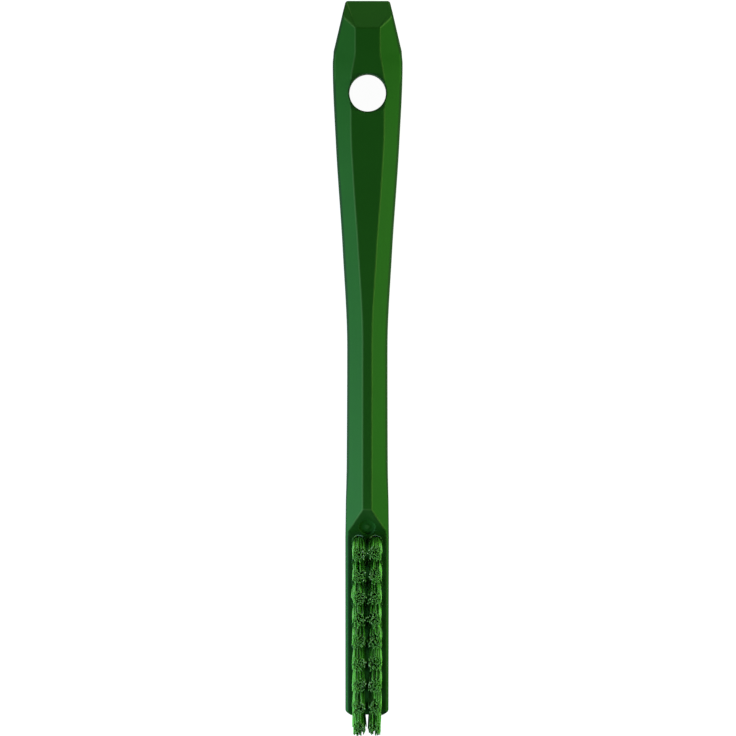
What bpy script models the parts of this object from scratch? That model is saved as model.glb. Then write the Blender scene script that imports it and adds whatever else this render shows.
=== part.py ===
"""Hand scrub brush: a one-piece faceted handle and block with two rows of anchored tufts.

The brush lies on its flat back: Z = 0 is that back and the bristles point up.
Its length runs along Y, with the hanging hole towards +Y and the bristles towards -Y.
The origin is under the middle of the brush, on the surface that it lies on.
"""
import math
import random

import bmesh
import bpy
from mathutils import Vector

# Outline of the block seen from the bristle side, with lengths from the hanging end
BLOCK_LENGTH = 0.2031
END_WIDTH = 0.0123
TAPER_LENGTH = 0.0140
CHEEK_WIDTH = 0.0190
CHEEK_LENGTH = 0.0035
WIDEST_WIDTH = 0.01955
PALM_LENGTH = 0.0222
PALM_WIDTH = 0.0178
FINGER_LENGTH = 0.0303
FINGER_WIDTH = 0.0139
TAIL_LENGTH = 0.0270
WAIST_WIDTH = 0.01145
NECK_LENGTH = 0.0330
NECK_WIDTH = 0.01172
HEAD_WIDTH = 0.01246
HANGING_CORNER_RADIUS = 0.0008
HEAD_CORNER_RADIUS = 0.0014

# Ridge: the narrow flat that runs along the top of the handle
RIDGE_END_WIDTH = 0.0068
RIDGE_CHEEK_WIDTH = 0.0070
RIDGE_RISE_LENGTH = 0.0085
RIDGE_HOLE_WIDTH = 0.0094
RIDGE_HOLE_LENGTH = 0.0120
RIDGE_PALM_LENGTH = 0.0150
RIDGE_PALM_WIDTH = 0.0080
RIDGE_FINGER_LENGTH = 0.0195
RIDGE_FINGER_WIDTH = 0.0053
RIDGE_TAIL_LENGTH = 0.0260
RIDGE_NECK_WIDTH = 0.00275

# Heights over the flat back
END_RIDGE_HEIGHT = 0.0120
WAIST_RIDGE_HEIGHT = 0.0138
NECK_RIDGE_HEIGHT = 0.0158
UPPER_EDGE_DROP = 0.0034
NECK_UPPER_EDGE_DROP = 0.0037
LOWER_EDGE_HEIGHT = 0.0032
BACK_FACET_INSET = 0.0026
FACET_ROUNDING = 0.0009
RIM_ROUNDING = 0.0003

# Sloped hanging end, with a small facet at each of its corners
END_SLOPE_LENGTH = 0.00765
END_SLOPE_DROP = 0.0066
CORNER_FACET_REACH = 0.0030
CORNER_FACET_WIDTH = 0.00315
CORNER_FACET_DROP = 0.0028
CORNER_FACET_CREST_REACH = 0.0047
CORNER_FACET_CREST_WIDTH = 0.0014

# Hanging hole
HANGING_HOLE_DIAMETER = 0.0103
HANGING_HOLE_FROM_END = 0.0255
HANGING_HOLE_FLARE = 0.0004

# Bristle bed, cut lower than the ridge, and the round gate recess on the ramp between them
BED_HEIGHT = 0.0128
FIRST_HOLE_FROM_SHOULDER = 0.0032
SHOULDER_LENGTH = 0.0067
GATE_RECESS_DIAMETER = 0.0047
GATE_RECESS_DEPTH = 0.0002
GATE_RECESS_FROM_BED = 0.0012

# Tuft holes
TUFTS_PER_ROW = 9
ROW_SPACING = 0.0047
TUFT_PITCH = 0.0060
LAST_HOLE_FROM_END = 0.0028
HOLE_DIAMETER = 0.0034
HOLE_DEPTH = 0.0070
HOLE_MOUTH_CHAMFER = 0.00025

# Tufts and their anchors
FIT_CLEARANCE = 0.0003
BRISTLE_LENGTH = 0.0157
BRISTLE_TRIM_SPREAD = 0.0006
TUFT_TIP_DIAMETER = 0.0037
TUFT_TOP_DEPTH = 0.0006
STRAND_SPACING = 0.00011
STRAND_WANDER = 0.00007
LAST_TUFT_LEAN = 0.0024
OUTER_STRAND_SHARE = 0.93
FOLD_THICKNESS = 0.0009
ANCHOR_THICKNESS = 0.0005
ANCHOR_HEIGHT = 0.0018
ANCHOR_BITE = 0.0003

# Counts, edge angles and cut overrun
RIM_SEGMENTS = 2
ROUNDED_EDGE_DEGREES = 26
SHARP_EDGE_DEGREES = 24
ARC_STEPS = 3
PALM_RINGS = 5
FINGER_RINGS = 5
TAIL_RINGS = 6
NECK_RINGS = 4
HOLE_SIDES = 24
HANGING_HOLE_SIDES = 48
STRAND_RINGS = 2
STRAND_SECTORS = 6
CUT_OVERRUN = 0.0020

TIP_REACH = LAST_TUFT_LEAN + OUTER_STRAND_SHARE * TUFT_TIP_DIAMETER / 2
TIP_OVERHANG = max(TIP_REACH - LAST_HOLE_FROM_END, 0.0)
HANGING_END_Y = (BLOCK_LENGTH + TIP_OVERHANG) / 2
HEAD_END_Y = HANGING_END_Y - BLOCK_LENGTH
WIDEST_FROM_END = TAPER_LENGTH + CHEEK_LENGTH
PALM_FROM_END = WIDEST_FROM_END + PALM_LENGTH
FINGER_FROM_END = PALM_FROM_END + FINGER_LENGTH
WAIST_FROM_END = FINGER_FROM_END + TAIL_LENGTH
NECK_FROM_END = WAIST_FROM_END + NECK_LENGTH
BED_LENGTH = FIRST_HOLE_FROM_SHOULDER + TUFT_PITCH * (TUFTS_PER_ROW - 1) + LAST_HOLE_FROM_END
BED_FROM_END = BLOCK_LENGTH - BED_LENGTH
SHOULDER_FROM_END = BED_FROM_END - SHOULDER_LENGTH
RAMP_SLOPE = (NECK_RIDGE_HEIGHT - BED_HEIGHT) / SHOULDER_LENGTH
HOLE_FLOOR_HEIGHT = BED_HEIGHT - HOLE_DEPTH
ANCHOR_BASE_HEIGHT = HOLE_FLOOR_HEIGHT + FOLD_THICKNESS + 2 * FIT_CLEARANCE
OVERALL_HEIGHT = BED_HEIGHT + BRISTLE_LENGTH

# Each curve below is a row of (distance from the hanging end, size) pairs
WIDTH_CURVE = (
    (TAPER_LENGTH, CHEEK_WIDTH),
    (WIDEST_FROM_END, WIDEST_WIDTH),
    (PALM_FROM_END, PALM_WIDTH),
    (FINGER_FROM_END, FINGER_WIDTH),
    (WAIST_FROM_END, WAIST_WIDTH),
    (NECK_FROM_END, NECK_WIDTH),
    (BED_FROM_END, HEAD_WIDTH),
)
RIDGE_RISE_FROM_END = TAPER_LENGTH + RIDGE_RISE_LENGTH
RIDGE_HOLE_FROM_END = RIDGE_RISE_FROM_END + RIDGE_HOLE_LENGTH
RIDGE_PALM_FROM_END = RIDGE_HOLE_FROM_END + RIDGE_PALM_LENGTH
RIDGE_FINGER_FROM_END = RIDGE_PALM_FROM_END + RIDGE_FINGER_LENGTH
RIDGE_NECK_FROM_END = RIDGE_FINGER_FROM_END + RIDGE_TAIL_LENGTH
RIDGE_CURVE = (
    (END_SLOPE_LENGTH, RIDGE_END_WIDTH),
    (TAPER_LENGTH, RIDGE_CHEEK_WIDTH),
    (RIDGE_RISE_FROM_END, RIDGE_HOLE_WIDTH),
    (RIDGE_HOLE_FROM_END, RIDGE_HOLE_WIDTH),
    (RIDGE_PALM_FROM_END, RIDGE_PALM_WIDTH),
    (RIDGE_FINGER_FROM_END, RIDGE_FINGER_WIDTH),
    (RIDGE_NECK_FROM_END, RIDGE_NECK_WIDTH),
)
HEIGHT_CURVE = (
    (HANGING_HOLE_FROM_END, END_RIDGE_HEIGHT),
    (WAIST_FROM_END, WAIST_RIDGE_HEIGHT),
    (SHOULDER_FROM_END, NECK_RIDGE_HEIGHT),
)
EDGE_DROP_CURVE = (
    (WAIST_FROM_END, UPPER_EDGE_DROP),
    (SHOULDER_FROM_END, NECK_UPPER_EDGE_DROP),
)


# Curves and sections
def curve_slopes(curve):
    """Slopes that keep the curve from swinging past its own points."""
    steps = []
    for (start, low), (stop, high) in zip(curve, curve[1:]):
        steps.append((high - low) / (stop - start))
    slopes = [0.0]
    for before, after in zip(steps, steps[1:]):
        same_way = before * after > 0.0
        slopes.append(2.0 * before * after / (before + after) if same_way else 0.0)
    slopes.append(0.0)
    return slopes


def eased(distance, curve):
    """Read a smooth curve at a distance, flat before its first and past its last point."""
    if distance <= curve[0][0]:
        return curve[0][1]
    if distance >= curve[-1][0]:
        return curve[-1][1]
    slopes = curve_slopes(curve)
    for index, (stop, high) in enumerate(curve[1:]):
        if distance > stop:
            continue
        start, low = curve[index]
        span = stop - start
        t = (distance - start) / span
        rise = t * t * (3.0 - 2.0 * t)
        pull_low = t * (1.0 - t) ** 2 * span * slopes[index]
        pull_high = t * t * (t - 1.0) * span * slopes[index + 1]
        return low + (high - low) * rise + pull_low + pull_high


def plan_inset(distance):
    """How far the block's sides draw in near its two rounded ends."""
    inset = 0.0
    for radius, from_end in (
        (HANGING_CORNER_RADIUS, distance),
        (HEAD_CORNER_RADIUS, BLOCK_LENGTH - distance),
    ):
        if from_end < radius:
            across = radius - from_end
            inset = radius - math.sqrt(radius * radius - across * across)
    return inset


def outline_width(distance):
    """Full width: a straight taper at the hanging end, then the smooth curve."""
    if distance < TAPER_LENGTH:
        share = distance / TAPER_LENGTH
        return END_WIDTH + (CHEEK_WIDTH - END_WIDTH) * share
    return eased(distance, WIDTH_CURVE)


def section_corners(distance):
    """The eight corners of the handle's section, as (x, z) pairs."""
    inset = plan_inset(distance)
    half = outline_width(distance) / 2 - inset
    ridge = min(eased(distance, RIDGE_CURVE) / 2, half - FACET_ROUNDING)
    back = half - BACK_FACET_INSET
    height = eased(distance, HEIGHT_CURVE)
    upper = height - eased(distance, EDGE_DROP_CURVE)
    right = [(back, 0.0), (half, LOWER_EDGE_HEIGHT), (half, upper), (ridge, height)]
    left = [(-x, z) for x, z in reversed(right)]
    return [Vector(corner) for corner in right + left]


def rounded(corners, radius):
    """Round each corner of a convex outline with an arc of the given radius."""
    points = []
    for index, corner in enumerate(corners):
        back = (corners[index - 1] - corner).normalized()
        ahead = (corners[(index + 1) % len(corners)] - corner).normalized()
        half_angle = back.angle(ahead) / 2
        middle = corner + (back + ahead).normalized() * (radius / math.sin(half_angle))
        first = corner + back * (radius / math.tan(half_angle)) - middle
        last = corner + ahead * (radius / math.tan(half_angle)) - middle
        for step in range(ARC_STEPS + 1):
            share = step / ARC_STEPS
            spoke = first.lerp(last, share).normalized()
            points.append(middle + spoke * radius)
    return points


def stretch(start, stop, count):
    """Evenly spaced distances from start up to, but not at, stop."""
    return [start + (stop - start) * step / count for step in range(count)]


def ring_distances():
    """Where the handle's sections stand, closest where its outline bends most."""
    distances = [0.0]
    for step in range(1, ARC_STEPS + 1):
        angle = math.pi / 2 * step / ARC_STEPS
        distances.append(HANGING_CORNER_RADIUS * (1.0 - math.cos(angle)))
    distances += stretch(TAPER_LENGTH, WIDEST_FROM_END, ARC_STEPS)
    distances += stretch(WIDEST_FROM_END, PALM_FROM_END, PALM_RINGS)
    distances += stretch(PALM_FROM_END, FINGER_FROM_END, FINGER_RINGS)
    distances += stretch(FINGER_FROM_END, WAIST_FROM_END, TAIL_RINGS)
    distances += stretch(WAIST_FROM_END, BED_FROM_END, NECK_RINGS)
    distances.append(BED_FROM_END)
    for step in range(ARC_STEPS + 1):
        angle = math.pi / 2 * step / ARC_STEPS
        distances.append(BLOCK_LENGTH - HEAD_CORNER_RADIUS * (1.0 - math.sin(angle)))
    return distances


# Materials
def plain_material(name, colour, roughness, metallic):
    """A Principled material with one colour."""
    material = bpy.data.materials.new(name)
    material.use_nodes = True
    shader = material.node_tree.nodes["Principled BSDF"]
    shader.inputs["Base Color"].default_value = (*colour, 1.0)
    shader.inputs["Roughness"].default_value = roughness
    shader.inputs["Metallic"].default_value = metallic
    material.diffuse_color = (*colour, 1.0)
    return material


def moulded_polypropylene():
    return plain_material("moulded_polypropylene", (0.020, 0.110, 0.018), 0.38, 0.0)


def polyester_bristle():
    return plain_material("polyester_bristle", (0.060, 0.240, 0.045), 0.45, 0.0)


def stainless_wire():
    return plain_material("stainless_wire", (0.560, 0.570, 0.580), 0.32, 1.0)


# Shared making of objects and cutters
def add_object(name, mesh_builder, material=None):
    """Turn a filled bmesh into a named object in the scene."""
    mesh = bpy.data.meshes.new(name)
    bmesh.ops.recalc_face_normals(mesh_builder, faces=mesh_builder.faces)
    mesh_builder.to_mesh(mesh)
    mesh_builder.free()
    placed = bpy.data.objects.new(name, mesh)
    bpy.context.collection.objects.link(placed)
    if material:
        mesh.materials.append(material)
    return placed


def add_cutter(name, mesh_builder):
    """A helper shape that only cuts its neighbours."""
    cutter = add_object(name, mesh_builder)
    cutter.hide_render = True
    cutter.display_type = "WIRE"
    return cutter


def cut(target, cutter):
    """Take the cutter's shape out of the target."""
    boolean = target.modifiers.new("cut_" + cutter.name, "BOOLEAN")
    boolean.operation = "DIFFERENCE"
    boolean.solver = "EXACT"
    boolean.object = cutter


def swept(builder, outline, travel):
    """Add the solid that a flat outline leaves as it moves along a straight line."""
    face = builder.faces.new([builder.verts.new(point) for point in outline])
    grown = bmesh.ops.extrude_face_region(builder, geom=[face])
    moved = [item for item in grown["geom"] if isinstance(item, bmesh.types.BMVert)]
    bmesh.ops.translate(builder, verts=moved, vec=travel)


def fill_box(builder, low, high):
    """Add a box between two opposite corners."""
    left, near, bottom = low
    right, far, top = high
    floor = ((left, near, bottom), (right, near, bottom), (right, far, bottom), (left, far, bottom))
    swept(builder, floor, (0.0, 0.0, top - bottom))


def turned(builder, profile, centre, sides):
    """Add a solid turned about a vertical axis from (radius, height) pairs."""
    loops = []
    for radius, height in profile:
        loop = []
        for side in range(sides):
            angle = 2 * math.pi * side / sides
            x = centre[0] + radius * math.cos(angle)
            y = centre[1] + radius * math.sin(angle)
            loop.append(builder.verts.new((x, y, height)))
        loops.append(loop)
    for low, high in zip(loops, loops[1:]):
        for side in range(sides):
            after = (side + 1) % sides
            builder.faces.new((low[side], low[after], high[after], high[side]))
    builder.faces.new(list(reversed(loops[0])))
    builder.faces.new(loops[-1])


# Tuft places
def tuft_places():
    """Row name, number and hole centre of every tuft, counted from the shoulder."""
    first_y = HEAD_END_Y + LAST_HOLE_FROM_END + TUFT_PITCH * (TUFTS_PER_ROW - 1)
    places = []
    for row, side in (("left", -1), ("right", 1)):
        for number in range(TUFTS_PER_ROW):
            y = first_y - TUFT_PITCH * number
            places.append((row, number + 1, (side * ROW_SPACING / 2, y)))
    return places


# Handle and block
def slice_off(builder, point, normal):
    """Cut a flat facet: everything on the normal's side goes and the cut is closed."""
    everything = builder.verts[:] + builder.edges[:] + builder.faces[:]
    sliced = bmesh.ops.bisect_plane(
        builder, geom=everything, plane_co=point, plane_no=normal, clear_outer=True
    )
    rim = [item for item in sliced["geom_cut"] if isinstance(item, bmesh.types.BMEdge)]
    bmesh.ops.contextual_create(builder, geom=rim)


def handle_loft():
    """The faceted handle and block as one loft through rounded eight-sided sections."""
    builder = bmesh.new()
    rings = []
    for distance in ring_distances():
        outline = rounded(section_corners(distance), FACET_ROUNDING)
        y = HANGING_END_Y - distance
        rings.append([builder.verts.new((p.x, y, p.y)) for p in outline])
    for before, after in zip(rings, rings[1:]):
        for index in range(len(before)):
            nxt = (index + 1) % len(before)
            builder.faces.new((before[index], before[nxt], after[nxt], after[index]))
    builder.faces.new(list(reversed(rings[0])))
    builder.faces.new(rings[-1])
    bmesh.ops.recalc_face_normals(builder, faces=builder.faces)
    return builder


def slope_hanging_end(builder):
    """Slope the top of the hanging end and facet the slope's two corners."""
    crest_y = HANGING_END_Y - END_SLOPE_LENGTH
    crest = Vector((0.0, crest_y, END_RIDGE_HEIGHT))
    slice_off(builder, crest, (0.0, END_SLOPE_DROP, END_SLOPE_LENGTH))
    slope = END_SLOPE_DROP / END_SLOPE_LENGTH
    for side in (-1, 1):
        corner = Vector((side * RIDGE_END_WIDTH / 2, crest_y, END_RIDGE_HEIGHT))
        on_cheek = corner + Vector(
            (side * CORNER_FACET_WIDTH, CORNER_FACET_REACH, -CORNER_FACET_DROP)
        )
        on_slope = corner + Vector((
            side * CORNER_FACET_CREST_WIDTH,
            CORNER_FACET_CREST_REACH,
            -CORNER_FACET_CREST_REACH * slope,
        ))
        normal = (on_cheek - corner).cross(on_slope - corner)
        if normal.z < 0.0:
            normal.negate()
        slice_off(builder, corner, normal)


def bed_cutter():
    """The wedge that lowers the head: a ramp from the ridge to the flat bristle bed."""
    builder = bmesh.new()
    shoulder_y = HANGING_END_Y - SHOULDER_FROM_END
    bed_y = HANGING_END_Y - BED_FROM_END
    top = NECK_RIDGE_HEIGHT + CUT_OVERRUN
    side_view = (
        (shoulder_y + CUT_OVERRUN / RAMP_SLOPE, top),
        (bed_y, BED_HEIGHT),
        (HEAD_END_Y - CUT_OVERRUN, BED_HEIGHT),
        (HEAD_END_Y - CUT_OVERRUN, top),
    )
    half = HEAD_WIDTH / 2 + CUT_OVERRUN
    swept(builder, [(-half, y, z) for y, z in side_view], (2 * half, 0.0, 0.0))
    return add_cutter("bed_cutter", builder)


def hanging_hole_cutter():
    """A round hole through both faces, flared a little at each mouth."""
    builder = bmesh.new()
    centre = (0.0, HANGING_END_Y - HANGING_HOLE_FROM_END)
    radius = HANGING_HOLE_DIAMETER / 2
    wide = radius + HANGING_HOLE_FLARE + CUT_OVERRUN
    profile = (
        (wide, -CUT_OVERRUN),
        (radius, HANGING_HOLE_FLARE),
        (radius, END_RIDGE_HEIGHT - HANGING_HOLE_FLARE),
        (wide, END_RIDGE_HEIGHT + CUT_OVERRUN),
    )
    turned(builder, profile, centre, HANGING_HOLE_SIDES)
    return add_cutter("hanging_hole_cutter", builder)


def tuft_hole_cutter():
    """All the blind round holes that take the tufts, each with a chamfered mouth."""
    builder = bmesh.new()
    radius = HOLE_DIAMETER / 2
    profile = (
        (radius, HOLE_FLOOR_HEIGHT),
        (radius, BED_HEIGHT - HOLE_MOUTH_CHAMFER),
        (radius + 2 * HOLE_MOUTH_CHAMFER, BED_HEIGHT + HOLE_MOUTH_CHAMFER),
    )
    for _, _, centre in tuft_places():
        turned(builder, profile, centre, HOLE_SIDES)
    return add_cutter("tuft_hole_cutter", builder)


def gate_recess_cutter():
    """A shallow round pocket, square to the ramp, that keeps the gate mark below the surface."""
    builder = bmesh.new()
    radius = GATE_RECESS_DIAMETER / 2
    profile = ((radius, -GATE_RECESS_DEPTH), (radius, CUT_OVERRUN))
    turned(builder, profile, (0.0, 0.0), HOLE_SIDES)
    cutter = add_cutter("gate_recess_cutter", builder)
    centre_y = HANGING_END_Y - BED_FROM_END + GATE_RECESS_FROM_BED
    cutter.location = (0.0, centre_y, BED_HEIGHT + GATE_RECESS_FROM_BED * RAMP_SLOPE)
    cutter.rotation_euler.x = math.atan(RAMP_SLOPE)
    return cutter


def anchor_slot_cutter():
    """The slots that each anchor's two ends press into the wall of its hole."""
    builder = bmesh.new()
    reach = HOLE_DIAMETER / 2 + ANCHOR_BITE + FIT_CLEARANCE
    half = ANCHOR_THICKNESS / 2 + FIT_CLEARANCE
    low_z = ANCHOR_BASE_HEIGHT - FIT_CLEARANCE
    high_z = ANCHOR_BASE_HEIGHT + ANCHOR_HEIGHT + FIT_CLEARANCE
    for _, _, (x, y) in tuft_places():
        fill_box(builder, (x - half, y - reach, low_z), (x + half, y + reach, high_z))
    return add_cutter("anchor_slot_cutter", builder)


def make_handle_block(material):
    """The one moulding: handle, hanging end, neck and drilled bristle block."""
    builder = handle_loft()
    slope_hanging_end(builder)
    block = add_object("handle_block", builder, material)
    cut(block, bed_cutter())
    rim = block.modifiers.new("rim_rounding", "BEVEL")
    rim.width = RIM_ROUNDING
    rim.segments = RIM_SEGMENTS
    rim.limit_method = "ANGLE"
    rim.angle_limit = math.radians(ROUNDED_EDGE_DEGREES)
    cut(block, hanging_hole_cutter())
    cut(block, gate_recess_cutter())
    cut(block, tuft_hole_cutter())
    cut(block, anchor_slot_cutter())
    block.data.shade_smooth()
    block.data.set_sharp_from_angle(angle=math.radians(SHARP_EDGE_DEGREES))
    return block


# Tufts
def lattice_top(builder, radius, height):
    """A round face split into like triangles, one for each strand."""
    rings = [[builder.verts.new((0.0, 0.0, height))]]
    for ring in range(1, STRAND_RINGS + 1):
        loop = []
        count = STRAND_SECTORS * ring
        for step in range(count):
            angle = 2 * math.pi * step / count
            reach = radius * ring / STRAND_RINGS
            loop.append(builder.verts.new((reach * math.cos(angle), reach * math.sin(angle), height)))
        rings.append(loop)
    cells = []
    for ring in range(1, STRAND_RINGS + 1):
        inner, outer = rings[ring - 1], rings[ring]
        for sector in range(STRAND_SECTORS):
            for step in range(ring):
                start = outer[sector * ring + step]
                stop = outer[(sector * ring + step + 1) % len(outer)]
                tip = inner[(sector * (ring - 1) + step) % len(inner)]
                cells.append(builder.faces.new((tip, start, stop)))
                if step:
                    before = inner[(sector * (ring - 1) + step - 1) % len(inner)]
                    cells.append(builder.faces.new((before, start, tip)))
    return cells, rings[-1]


def make_tuft(row, number, centre, material, fold_cutter):
    """A bundle of strands fused to its folded root, which fills the tuft hole."""
    chance = random.Random(row + str(number))
    builder = bmesh.new()
    root_radius = HOLE_DIAMETER / 2 - FIT_CLEARANCE
    top = BED_HEIGHT - TUFT_TOP_DEPTH
    cells, rim = lattice_top(builder, root_radius, top)
    bottom = []
    for vertex in rim:
        low = vertex.co.copy()
        low.z = HOLE_FLOOR_HEIGHT + FIT_CLEARANCE
        bottom.append(builder.verts.new(low))
    for index, vertex in enumerate(rim):
        after = (index + 1) % len(rim)
        builder.faces.new((bottom[index], bottom[after], rim[after], vertex))
    builder.faces.new(list(reversed(bottom)))
    builder.normal_update()
    bmesh.ops.inset_individual(
        builder, faces=cells, thickness=STRAND_SPACING / 2, use_even_offset=True
    )
    strands = bmesh.ops.extrude_discrete_faces(builder, faces=cells)["faces"]
    splay = TUFT_TIP_DIAMETER / (2 * root_radius)
    lean = LAST_TUFT_LEAN * (number - 1) / (TUFTS_PER_ROW - 1)
    for strand in strands:
        root = strand.calc_center_median()
        wander_x = chance.uniform(-STRAND_WANDER, STRAND_WANDER)
        wander_y = chance.uniform(-STRAND_WANDER, STRAND_WANDER)
        trim = chance.uniform(0.0, BRISTLE_TRIM_SPREAD)
        tip = Vector((
            root.x * splay + wander_x,
            root.y * splay + wander_y - lean,
            OVERALL_HEIGHT - trim,
        ))
        for vertex in strand.verts:
            vertex.co = vertex.co - root + tip
    tuft = add_object(f"tuft_{row}_{number}", builder, material)
    tuft.location = (centre[0], centre[1], 0.0)
    cut(tuft, fold_cutter)
    return tuft


def fold_cutter(row, centres):
    """The long bar that opens the fold of every tuft in a row for its anchor."""
    builder = bmesh.new()
    half = ANCHOR_THICKNESS / 2 + FIT_CLEARANCE
    x = centres[0][0]
    reach = HOLE_DIAMETER / 2 + CUT_OVERRUN
    low_y = min(y for _, y in centres) - reach
    high_y = max(y for _, y in centres) + reach
    low = (x - half, low_y, ANCHOR_BASE_HEIGHT - FIT_CLEARANCE)
    high = (x + half, high_y, ANCHOR_BASE_HEIGHT + ANCHOR_HEIGHT + FIT_CLEARANCE)
    fill_box(builder, low, high)
    return add_cutter(f"fold_cutter_{row}", builder)


# Anchors
def make_anchor(row, number, centre, material):
    """A cut length of flat wire across the fold, its ends in the hole's wall."""
    builder = bmesh.new()
    half_length = HOLE_DIAMETER / 2 + ANCHOR_BITE
    half = ANCHOR_THICKNESS / 2
    fill_box(builder, (-half, -half_length, 0.0), (half, half_length, ANCHOR_HEIGHT))
    anchor = add_object(f"anchor_{row}_{number}", builder, material)
    anchor.location = (centre[0], centre[1], ANCHOR_BASE_HEIGHT)
    return anchor


# The whole brush
for leftover in list(bpy.data.objects):
    bpy.data.objects.remove(leftover, do_unlink=True)

make_handle_block(moulded_polypropylene())
bristle = polyester_bristle()
wire = stainless_wire()
for row_name in ("left", "right"):
    row_places = [place for place in tuft_places() if place[0] == row_name]
    opener = fold_cutter(row_name, [place[2] for place in row_places])
    for _, tuft_number, tuft_centre in row_places:
        make_tuft(row_name, tuft_number, tuft_centre, bristle, opener)
        make_anchor(row_name, tuft_number, tuft_centre, wire)
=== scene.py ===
import math
import random

import bmesh
import bpy
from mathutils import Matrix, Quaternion, Vector


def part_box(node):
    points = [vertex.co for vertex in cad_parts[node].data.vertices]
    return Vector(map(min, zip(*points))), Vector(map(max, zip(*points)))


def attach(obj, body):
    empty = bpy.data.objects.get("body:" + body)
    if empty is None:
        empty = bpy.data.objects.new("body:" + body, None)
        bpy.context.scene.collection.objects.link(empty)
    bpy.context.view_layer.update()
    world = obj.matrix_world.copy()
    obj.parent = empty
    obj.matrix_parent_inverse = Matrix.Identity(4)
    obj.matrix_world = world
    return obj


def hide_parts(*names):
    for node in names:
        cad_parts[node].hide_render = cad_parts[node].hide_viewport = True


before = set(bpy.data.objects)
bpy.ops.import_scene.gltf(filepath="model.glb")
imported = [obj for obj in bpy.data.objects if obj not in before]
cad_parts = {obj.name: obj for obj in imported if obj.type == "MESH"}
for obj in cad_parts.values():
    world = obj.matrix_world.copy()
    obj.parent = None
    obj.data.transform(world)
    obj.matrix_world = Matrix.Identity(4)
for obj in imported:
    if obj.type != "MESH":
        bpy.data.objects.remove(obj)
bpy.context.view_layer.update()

# Handle and bristle block
# One injection moulding of green polypropylene: a faceted handle with a hanging hole, a slim ridged
# neck and a flat bristle bed. The bed is drilled for the tufts once the moulding has cooled, so the
# mouth of each hole has a cut chamfer, while every other edge has a moulded rounding.
BLOCK_LOW, BLOCK_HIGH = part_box("handle_block")
HANGING_END_Y = BLOCK_HIGH.y
HEAD_END_Y = BLOCK_LOW.y
BLOCK_LENGTH = HANGING_END_Y - HEAD_END_Y

# Outline seen from the bristle side, from the hanging end to the head, and its upright corners
END_WIDTH = 0.0123
TAPER_LENGTH = 0.0140
CHEEK_WIDTH = 0.0190
CHEEK_LENGTH = 0.0035
WIDEST_WIDTH = BLOCK_HIGH.x - BLOCK_LOW.x
PALM_LENGTH = 0.0222
PALM_WIDTH = 0.0178
FINGER_LENGTH = 0.0303
FINGER_WIDTH = 0.0139
TAIL_LENGTH = 0.0270
WAIST_WIDTH = 0.01145
NECK_LENGTH = 0.0330
NECK_WIDTH = 0.01172
HEAD_WIDTH = 0.01246
HANGING_CORNER_REACH = 0.00065
HEAD_CORNER_REACH = 0.0014
HEAD_CORNER_WIDTH = 0.0020
CORNER_STEPS = 8
ROUND_PROFILE = 0.5

# Flat ridge along the middle of the bristle side, from the hanging end to the neck
RIDGE_END_WIDTH = 0.0068
RIDGE_CHEEK_WIDTH = 0.0070
RIDGE_RISE_LENGTH = 0.0085
RIDGE_HOLE_WIDTH = 0.0094
RIDGE_HOLE_LENGTH = 0.0120
RIDGE_PALM_LENGTH = 0.0150
RIDGE_PALM_WIDTH = 0.0080
RIDGE_FINGER_LENGTH = 0.0195
RIDGE_FINGER_WIDTH = 0.0053
RIDGE_TAIL_LENGTH = 0.0260
RIDGE_NECK_WIDTH = 0.00275

# Section: heights over the flat back, the fall from the ridge to the outer edges, and their rounding
END_RIDGE_HEIGHT = 0.0120
WAIST_RIDGE_HEIGHT = 0.0138
NECK_RIDGE_HEIGHT = BLOCK_HIGH.z
UPPER_EDGE_DROP = 0.0034
NECK_UPPER_EDGE_DROP = 0.0036
LOWER_EDGE_HEIGHT = 0.0032
OUTER_EDGE_REACH = 0.00105
HEAD_OUTER_EDGE_REACH = 0.00035
OUTER_EDGE_STEPS = 6
BACK_FACET_INSET = 0.0026
HANDLE_RINGS = 84

# Sloped hanging end, with a small facet at each corner of the slope
END_SLOPE_LENGTH = 0.00765
END_SLOPE_DROP = 0.0066
CORNER_FACET_REACH = 0.0030
CORNER_FACET_WIDTH = 0.00315
CORNER_FACET_DROP = 0.0028
CORNER_FACET_CREST_REACH = 0.0047
CORNER_FACET_CREST_WIDTH = 0.0014

# Hanging hole and its rounded lip
HANGING_HOLE_RADIUS = 0.00515
HANGING_HOLE_FROM_END = 0.0255
HANGING_HOLE_SIDES = 96
HANGING_HOLE_LIP = 0.0004
LIP_STEPS = 4
LIP_SWEEP_DEGREES = 75

# Bristle bed, the ramp of the shoulder and the tuft holes
BED_HEIGHT = 0.0128
FIRST_HOLE_FROM_SHOULDER = 0.0032
SHOULDER_LENGTH = 0.0067
TUFT_HOLE_RADIUS = 0.0017
TUFT_HOLE_CHAMFER = 0.00032
TUFT_HOLE_SIDES = 48
CUT_OVERRUN = 0.0020

# Gate mark in its shallow recess on the ramp
GATE_RADIUS = 0.00235
GATE_DEPTH = 0.00014
GATE_FROM_BED = 0.0012
GATE_LIP = 0.0001
GATE_MARK_RADIUS = 0.0006
GATE_MARK_HEIGHT = 0.00005

# Moulded rounding of the edges, and how strongly a rounding gets a painted highlight or painted shade
EDGE_ROUNDING = 0.00034
EDGE_STEPS = 4
ROUNDED_EDGE_DEGREES = 17
SHARP_EDGE_DEGREES = 50
EDGE_BEND_RADIUS = 0.0009
SLIVER_AREA = 1e-12
FLAT_LYING_SHARE = 0.74
HEAD_EDGE_SHADE_SHARE = 0.45

ROWS = ("left", "right")
TUFTS_PER_ROW = sum(1 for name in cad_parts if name.startswith("tuft_left_"))


def tuft_hole(row, number):
    """The centre of a tuft hole, which its anchor lies across, and the anchor's two heights."""
    low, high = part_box(f"anchor_{row}_{number}")
    return Vector(((low.x + high.x) / 2, (low.y + high.y) / 2, 0.0)), low.z, high.z


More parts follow.
